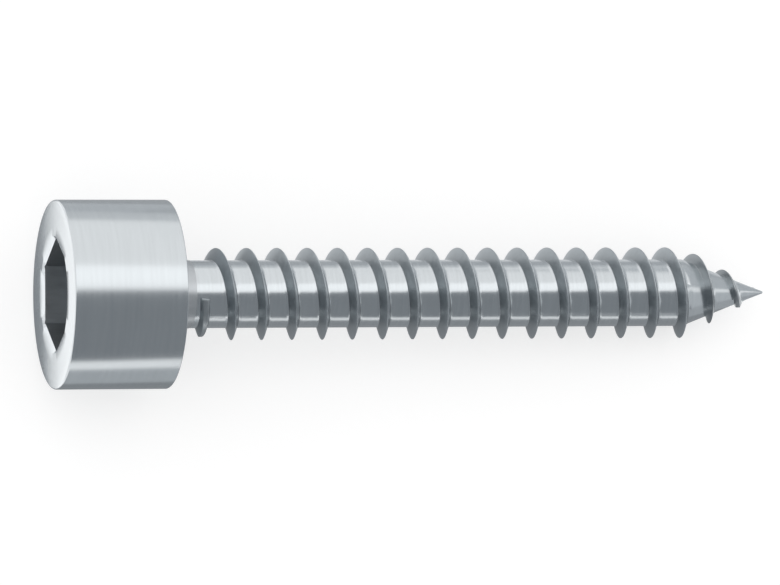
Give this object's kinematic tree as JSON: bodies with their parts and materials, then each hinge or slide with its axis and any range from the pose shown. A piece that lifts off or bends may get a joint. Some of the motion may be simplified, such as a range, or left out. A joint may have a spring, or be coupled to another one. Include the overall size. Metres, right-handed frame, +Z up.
{
  "type": "self-tapping screw",
  "caption": "Steel self-tapping screw with a cylindrical head, a hexagon socket, a coarse right-hand thread along the shank and a sharp cone point.",
  "frame": {"origin": "middle of the footprint, on the floor that the screw lies on", "axes": "+X towards the point, with the screw's own axis leaning 5.2 degrees down towards it, +Y across the screw, +Z up"},
  "size_m": [0.038, 0.0096, 0.0101],
  "materials": {
    "steel": "bright stainless steel, turned head and rolled thread"
  },
  "bodies": {
    "root": {"tapping_screw": "steel"}
  },
  "joints": []
}
